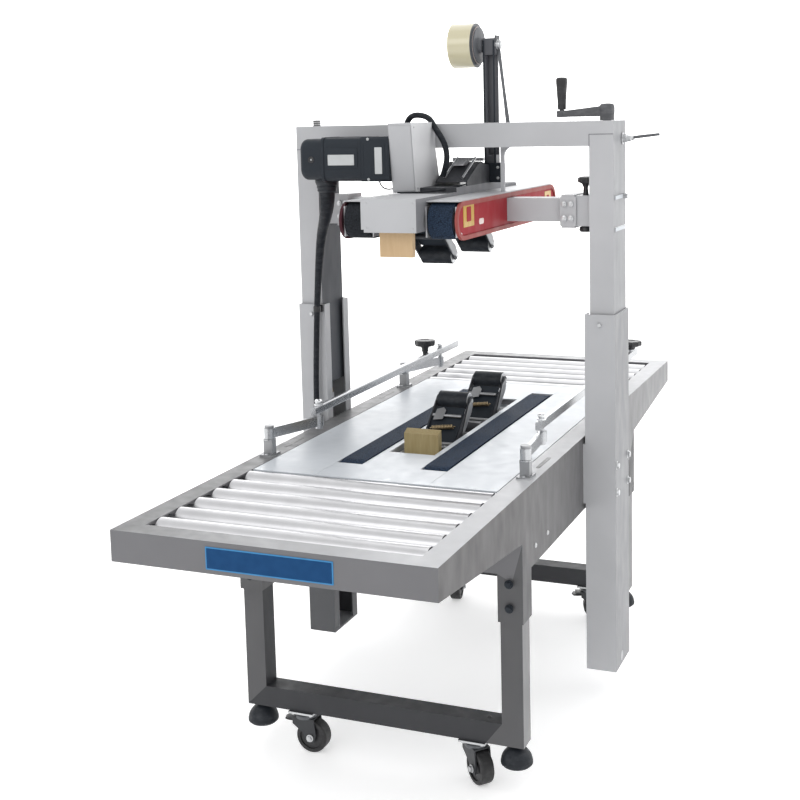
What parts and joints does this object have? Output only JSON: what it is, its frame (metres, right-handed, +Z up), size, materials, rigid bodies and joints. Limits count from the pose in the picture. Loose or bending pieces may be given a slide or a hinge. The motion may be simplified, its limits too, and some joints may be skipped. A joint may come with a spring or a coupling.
{
  "type": "carton sealer machine",
  "caption": "Floor-standing carton sealer with top and bottom drive belts, roller tables, swinging side guides, sprung tape heads and a crank-lifted upper head on two columns.",
  "frame": {"origin": "on the floor, below the middle of the machine's bounding box", "axes": "+X across the machine to the side with the crank, +Y along the carton's travel, +Z up"},
  "size_m": [0.8331, 1.77, 1.507],
  "materials": {
    "grey_paint": "semi-gloss powder coat",
    "white_plate": "satin",
    "roller_steel": "zinc plated, satin",
    "zinc_steel": "zinc plated",
    "black_tread": "matte",
    "belt": "matte",
    "red_paint": "gloss",
    "black_paint": "semi-gloss",
    "black_rubber": "matte",
    "black_plastic": "fine grain",
    "tape": "clear film on a wound roll",
    "conduit": "ribbed"
  },
  "bodies": {
    "front_legs": {"front_leg_frame": "grey_paint"},
    "rear_legs": {"rear_leg_frame": "grey_paint"},
    "bed": {"bed_panels": "grey_paint", "bed_hardware": "zinc_steel", "table_plates": "white_plate", "lower_gear_motor": "black_paint", "lower_belts": "belt", "lower_head_frame": "grey_paint", "outer_columns": "grey_paint", "conduit": "conduit"},
    "gantry": {"gantry_frame": "grey_paint", "upper_head_frame": "grey_paint", "belt_covers": "red_paint", "upper_belts": "belt", "drive_motor": "black_paint", "drive_housing": "grey_paint", "tape_mast": "black_paint"},
    "caster_front_left": {"caster_fork_front_left": "zinc_steel"},
    "wheel_front_left": {"caster_wheel_front_left": "black_tread"},
    "caster_front_right": {"caster_fork_front_right": "zinc_steel"},
    "wheel_front_right": {"caster_wheel_front_right": "black_tread"},
    "caster_rear_left": {"caster_fork_rear_left": "zinc_steel"},
    "wheel_rear_left": {"caster_wheel_rear_left": "black_tread"},
    "caster_rear_right": {"caster_fork_rear_right": "zinc_steel"},
    "wheel_rear_right": {"caster_wheel_rear_right": "black_tread"},
    "front_roller_1": {"front_roller_1": "roller_steel"},
    "front_roller_2": {"front_roller_2": "roller_steel"},
    "front_roller_3": {"front_roller_3": "roller_steel"},
    "front_roller_4": {"front_roller_4": "roller_steel"},
    "front_roller_5": {"front_roller_5": "roller_steel"},
    "front_roller_6": {"front_roller_6": "roller_steel"},
    "rear_roller_1": {"rear_roller_1": "roller_steel"},
    "rear_roller_2": {"rear_roller_2": "roller_steel"},
    "rear_roller_3": {"rear_roller_3": "roller_steel"},
    "rear_roller_4": {"rear_roller_4": "roller_steel"},
    "rear_roller_5": {"rear_roller_5": "roller_steel"},
    "rear_roller_6": {"rear_roller_6": "roller_steel"},
    "lower_drive": {"lower_drive_drums": "zinc_steel"},
    "lower_idler": {"lower_idler_drums": "zinc_steel"},
    "upper_drive": {"upper_drive_drums": "zinc_steel"},
    "upper_idler": {"upper_idler_drums": "zinc_steel"},
    "lower_front_arm": {"lower_front_arm": "zinc_steel"},
    "lower_front_press_roller": {"lower_front_press_roller": "black_rubber"},
    "lower_rear_arm": {"lower_rear_arm": "zinc_steel"},
    "lower_rear_press_roller": {"lower_rear_press_roller": "black_rubber"},
    "upper_front_arm": {"upper_front_arm": "zinc_steel"},
    "upper_front_press_roller": {"upper_front_press_roller": "black_rubber"},
    "upper_rear_arm": {"upper_rear_arm": "zinc_steel"},
    "upper_rear_press_roller": {"upper_rear_press_roller": "black_rubber"},
    "lower_tape": {"lower_tape_roll": "tape"},
    "upper_tape": {"upper_tape_roll": "tape"},
    "crank": {"crank_and_screw": "zinc_steel"},
    "grip": {"crank_grip": "black_plastic"},
    "left_screw": {"left_lift_screw": "zinc_steel"},
    "left_front_link": {"left_front_guide_link": "grey_paint"},
    "left_rear_link": {"left_rear_guide_link": "grey_paint"},
    "left_rail": {"left_guide_rail": "zinc_steel"},
    "right_front_link": {"right_front_guide_link": "grey_paint"},
    "right_rear_link": {"right_rear_guide_link": "grey_paint"},
    "right_rail": {"right_guide_rail": "zinc_steel"}
  },
  "joints": [
    {"name": "table_height", "type": "slide", "parent": "front_legs", "child": "bed", "axis": [0, 0, 1], "range_m": [0, 0.15]},
    {"name": "rear_leg_slide", "type": "slide", "parent": "bed", "child": "rear_legs", "axis": [0, 0, -1], "range_m": [0, 0.15]},
    {"name": "swivel_front_left", "type": "hinge", "parent": "front_legs", "child": "caster_front_left", "pos_m": [-0.214, -0.434, 0.086], "axis": [0, 0, 1], "continuous": true},
    {"name": "wheel_spin_front_left", "type": "hinge", "parent": "caster_front_left", "child": "wheel_front_left", "pos_m": [-0.198, -0.434, 0.034], "axis": [0, 1, 0], "continuous": true},
    {"name": "swivel_front_right", "type": "hinge", "parent": "front_legs", "child": "caster_front_right", "pos_m": [0.16, -0.434, 0.086], "axis": [0, 0, 1], "continuous": true},
    {"name": "wheel_spin_front_right", "type": "hinge", "parent": "caster_front_right", "child": "wheel_front_right", "pos_m": [0.17208, -0.4445, 0.034], "axis": [0.6561, 0.7547, 0], "continuous": true},
    {"name": "swivel_rear_left", "type": "hinge", "parent": "rear_legs", "child": "caster_rear_left", "pos_m": [-0.214, 0.434, 0.086], "axis": [0, 0, 1], "continuous": true},
    {"name": "wheel_spin_rear_left", "type": "hinge", "parent": "caster_rear_left", "child": "wheel_rear_left", "pos_m": [-0.21678, 0.44976, 0.034], "axis": [-0.9848, -0.1736, 0], "continuous": true},
    {"name": "swivel_rear_right", "type": "hinge", "parent": "rear_legs", "child": "caster_rear_right", "pos_m": [0.16, 0.434, 0.086], "axis": [0, 0, 1], "continuous": true},
    {"name": "wheel_spin_rear_right", "type": "hinge", "parent": "caster_rear_right", "child": "wheel_rear_right", "pos_m": [0.17503, 0.43947, 0.034], "axis": [-0.342, 0.9397, 0], "continuous": true},
    {"name": "front_roller_1_spin", "type": "hinge", "parent": "bed", "child": "front_roller_1", "pos_m": [-0.036, -0.8, 0.58], "axis": [1, 0, 0], "continuous": true},
    {"name": "front_roller_2_spin", "type": "hinge", "parent": "bed", "child": "front_roller_2", "pos_m": [-0.036, -0.7374, 0.58], "axis": [1, 0, 0], "continuous": true},
    {"name": "front_roller_3_spin", "type": "hinge", "parent": "bed", "child": "front_roller_3", "pos_m": [-0.036, -0.6748, 0.58], "axis": [1, 0, 0], "continuous": true},
    {"name": "front_roller_4_spin", "type": "hinge", "parent": "bed", "child": "front_roller_4", "pos_m": [-0.036, -0.6122, 0.58], "axis": [1, 0, 0], "continuous": true},
    {"name": "front_roller_5_spin", "type": "hinge", "parent": "bed", "child": "front_roller_5", "pos_m": [-0.036, -0.5496, 0.58], "axis": [1, 0, 0], "continuous": true},
    {"name": "front_roller_6_spin", "type": "hinge", "parent": "bed", "child": "front_roller_6", "pos_m": [-0.036, -0.487, 0.58], "axis": [1, 0, 0], "continuous": true},
    {"name": "rear_roller_1_spin", "type": "hinge", "parent": "bed", "child": "rear_roller_1", "pos_m": [-0.036, 0.8, 0.58], "axis": [1, 0, 0], "continuous": true},
    {"name": "rear_roller_2_spin", "type": "hinge", "parent": "bed", "child": "rear_roller_2", "pos_m": [-0.036, 0.7374, 0.58], "axis": [1, 0, 0], "continuous": true},
    {"name": "rear_roller_3_spin", "type": "hinge", "parent": "bed", "child": "rear_roller_3", "pos_m": [-0.036, 0.6748, 0.58], "axis": [1, 0, 0], "continuous": true},
    {"name": "rear_roller_4_spin", "type": "hinge", "parent": "bed", "child": "rear_roller_4", "pos_m": [-0.036, 0.6122, 0.58], "axis": [1, 0, 0], "continuous": true},
    {"name": "rear_roller_5_spin", "type": "hinge", "parent": "bed", "child": "rear_roller_5", "pos_m": [-0.036, 0.5496, 0.58], "axis": [1, 0, 0], "continuous": true},
    {"name": "rear_roller_6_spin", "type": "hinge", "parent": "bed", "child": "rear_roller_6", "pos_m": [-0.036, 0.487, 0.58], "axis": [1, 0, 0], "continuous": true},
    {"name": "lower_drive_spin", "type": "hinge", "parent": "bed", "child": "lower_drive", "pos_m": [-0.036, 0.34, 0.563], "axis": [1, 0, 0], "continuous": true},
    {"name": "lower_idler_spin", "type": "hinge", "parent": "bed", "child": "lower_idler", "pos_m": [-0.036, -0.34, 0.563], "axis": [1, 0, 0], "continuous": true},
    {"name": "upper_drive_spin", "type": "hinge", "parent": "gantry", "child": "upper_drive", "pos_m": [-0.036, -0.271, 1.09], "axis": [1, 0, 0], "continuous": true},
    {"name": "upper_idler_spin", "type": "hinge", "parent": "gantry", "child": "upper_idler", "pos_m": [-0.036, 0.343, 1.09], "axis": [1, 0, 0], "continuous": true},
    {"name": "lower_front_arm_swing", "type": "hinge", "parent": "bed", "child": "lower_front_arm", "pos_m": [-0.036, -0.117, 0.565], "axis": [1, 0, 0], "range_deg": [-34, 0], "stiffness_Nm_per_rad": 12, "springref_deg": 28.65},
    {"name": "lower_front_press_roller_spin", "type": "hinge", "parent": "lower_front_arm", "child": "lower_front_press_roller", "pos_m": [-0.036, -0.005, 0.659], "axis": [1, 0, 0], "continuous": true},
    {"name": "lower_rear_arm_swing", "type": "hinge", "parent": "bed", "child": "lower_rear_arm", "pos_m": [-0.036, 0.12, 0.565], "axis": [1, 0, 0], "range_deg": [-34, 0], "stiffness_Nm_per_rad": 12, "springref_deg": 28.65},
    {"name": "lower_rear_press_roller_spin", "type": "hinge", "parent": "lower_rear_arm", "child": "lower_rear_press_roller", "pos_m": [-0.036, 0.232, 0.659], "axis": [1, 0, 0], "continuous": true},
    {"name": "upper_front_arm_swing", "type": "hinge", "parent": "gantry", "child": "upper_front_arm", "pos_m": [-0.036, -0.198, 1.095], "axis": [1, 0, 0], "range_deg": [0, 31], "stiffness_Nm_per_rad": 12, "springref_deg": -20.05},
    {"name": "upper_front_press_roller_spin", "type": "hinge", "parent": "upper_front_arm", "child": "upper_front_press_roller", "pos_m": [-0.036, -0.086, 1.001], "axis": [1, 0, 0], "continuous": true},
    {"name": "upper_rear_arm_swing", "type": "hinge", "parent": "gantry", "child": "upper_rear_arm", "pos_m": [-0.036, 0.045, 1.095], "axis": [1, 0, 0], "range_deg": [0, 31], "stiffness_Nm_per_rad": 12, "springref_deg": -20.05},
    {"name": "upper_rear_press_roller_spin", "type": "hinge", "parent": "upper_rear_arm", "child": "upper_rear_press_roller", "pos_m": [-0.036, 0.157, 1.001], "axis": [1, 0, 0], "continuous": true},
    {"name": "lower_tape_spin", "type": "hinge", "parent": "bed", "child": "lower_tape", "pos_m": [-0.036, 0.06, 0.488], "axis": [1, 0, 0], "continuous": true},
    {"name": "upper_tape_spin", "type": "hinge", "parent": "gantry", "child": "upper_tape", "pos_m": [-0.036, 0.108, 1.457], "axis": [1, 0, 0], "continuous": true},
    {"name": "mast_lift", "type": "slide", "parent": "bed", "child": "gantry", "axis": [0, 0, 1], "range_m": [-0.24, 0.05], "deforming": ["conduit"]},
    {"name": "crank_turn", "type": "hinge", "parent": "gantry", "child": "crank", "pos_m": [0.311, 0.034, 1.283], "axis": [0, 0, 1], "range_deg": [-8650, 1810]},
    {"name": "left_screw_turn", "type": "hinge", "parent": "gantry", "child": "left_screw", "pos_m": [-0.383, 0.034, 1.283], "axis": [0, 0, 1], "range_deg": [-8650, 1810]},
    {"name": "grip_spin", "type": "hinge", "parent": "crank", "child": "grip", "pos_m": [0.211, 0.034, 1.32], "axis": [0, 0, 1], "continuous": true},
    {"name": "left_front_link_swing", "type": "hinge", "parent": "bed", "child": "left_front_link", "pos_m": [-0.318, -0.36, 0.647], "axis": [0, 0, 1], "range_deg": [-55, 5]},
    {"name": "left_rear_link_swing", "type": "hinge", "parent": "bed", "child": "left_rear_link", "pos_m": [-0.318, 0.36, 0.647], "axis": [0, 0, 1], "range_deg": [-55, 5]},
    {"name": "left_rail_turn", "type": "hinge", "parent": "left_front_link", "child": "left_rail", "pos_m": [-0.26783, -0.2293, 0.647], "axis": [0, 0, 1], "range_deg": [-5, 55]},
    {"name": "right_front_link_swing", "type": "hinge", "parent": "bed", "child": "right_front_link", "pos_m": [0.246, -0.36, 0.647], "axis": [0, 0, 1], "range_deg": [-4, 72]},
    {"name": "right_rear_link_swing", "type": "hinge", "parent": "bed", "child": "right_rear_link", "pos_m": [0.246, 0.36, 0.647], "axis": [0, 0, 1], "range_deg": [-4, 72]},
    {"name": "right_rail_turn", "type": "hinge", "parent": "right_front_link", "child": "right_rail", "pos_m": [0.23623, -0.22034, 0.647], "axis": [0, 0, 1], "range_deg": [-72, 4]}
  ],
  "couplings": [
    {"joint": "rear_leg_slide", "follows": "table_height", "ratio": 1},
    {"joint": "lower_idler_spin", "follows": "lower_drive_spin", "ratio": 1},
    {"joint": "upper_idler_spin", "follows": "upper_drive_spin", "ratio": 1},
    {"joint": "lower_rear_arm_swing", "follows": "lower_front_arm_swing", "ratio": 1},
    {"joint": "upper_rear_arm_swing", "follows": "upper_front_arm_swing", "ratio": 1},
    {"joint": "crank_turn", "follows": "mast_lift", "rad_per_m": 628.32},
    {"joint": "left_screw_turn", "follows": "mast_lift", "rad_per_m": 628.32},
    {"joint": "left_rear_link_swing", "follows": "left_front_link_swing", "ratio": 1},
    {"joint": "left_rail_turn", "follows": "left_front_link_swing", "ratio": -1},
    {"joint": "right_rear_link_swing", "follows": "right_front_link_swing", "ratio": 1},
    {"joint": "right_rail_turn", "follows": "right_front_link_swing", "ratio": -1}
  ]
}
